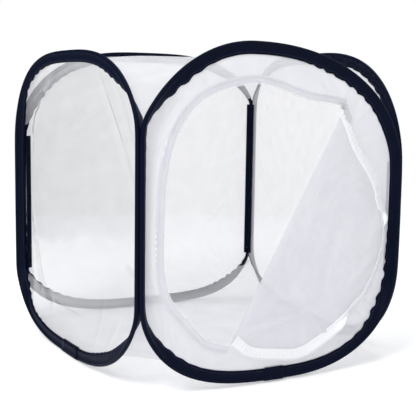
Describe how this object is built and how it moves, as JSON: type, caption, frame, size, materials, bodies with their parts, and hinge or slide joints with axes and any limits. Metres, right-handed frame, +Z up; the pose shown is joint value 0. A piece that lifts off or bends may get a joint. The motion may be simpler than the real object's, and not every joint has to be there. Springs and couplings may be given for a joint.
{
  "type": "pop-up insect cage",
  "caption": "Pop-up mesh cage on spring-wire rings, with a clear side window and a zipped door folded open; it holds insects while they are reared or watched.",
  "frame": {"origin": "on the ground under the middle of the cage's bounding box, to about 3 mm", "axes": "+Z up, the door side faces -Y, +X to the right seen from the door"},
  "size_m": [0.4042, 0.4283, 0.3998],
  "materials": {
    "spring_steel": "drawn spring-steel wire",
    "crimped_steel": "crimped steel sleeve",
    "navy_binding": "folded navy polyester binding tape",
    "white_mesh": "fine white polyester mesh",
    "clear_film": "clear soft PVC film",
    "zip_tape": "woven white zip tape",
    "nylon_coil": "moulded nylon zip coil",
    "painted_zinc": "pale grey painted zinc"
  },
  "bodies": {
    "cage": {"wire_loop_front": "spring_steel", "wire_loop_right": "spring_steel", "wire_loop_back": "spring_steel", "wire_loop_left": "spring_steel", "wire_ferrule_front": "crimped_steel", "wire_ferrule_right": "crimped_steel", "wire_ferrule_back": "crimped_steel", "wire_ferrule_left": "crimped_steel", "loop_tape_front": "navy_binding", "loop_tape_right": "navy_binding", "loop_tape_back": "navy_binding", "loop_tape_left": "navy_binding", "front_panel": "white_mesh", "right_panel": "white_mesh", "back_panel": "white_mesh", "left_window": "clear_film", "top_panel": "white_mesh", "floor_panel": "white_mesh", "corner_binding_front_left": "navy_binding", "corner_binding_front_right": "navy_binding", "corner_binding_back_right": "navy_binding", "corner_binding_back_left": "navy_binding", "zip_tape_fixed": "zip_tape", "zip_coil_fixed": "nylon_coil"},
    "flap": {"door_flap": "white_mesh", "zip_tape_flap": "zip_tape", "zip_coil_flap": "nylon_coil"},
    "slider": {"zip_slider": "painted_zinc"},
    "tab": {"pull_tab": "painted_zinc"}
  },
  "joints": [
    {"name": "flap_fold", "type": "hinge", "parent": "cage", "child": "flap", "pos_m": [0.0881, -0.2022, 0.32611], "axis": [-0.4838, 0, -0.8752], "range_deg": [0, 180]},
    {"name": "slider_travel", "type": "hinge", "parent": "cage", "child": "slider", "pos_m": [0.0004, -0.204, 0.1933], "axis": [0, -1, 0], "range_deg": [0, 184]},
    {"name": "tab_swing", "type": "hinge", "parent": "slider", "child": "tab", "pos_m": [0.0842, -0.206, 0.3267], "axis": [-0.8821, 0, -0.4711], "range_deg": [0, 160]}
  ]
}
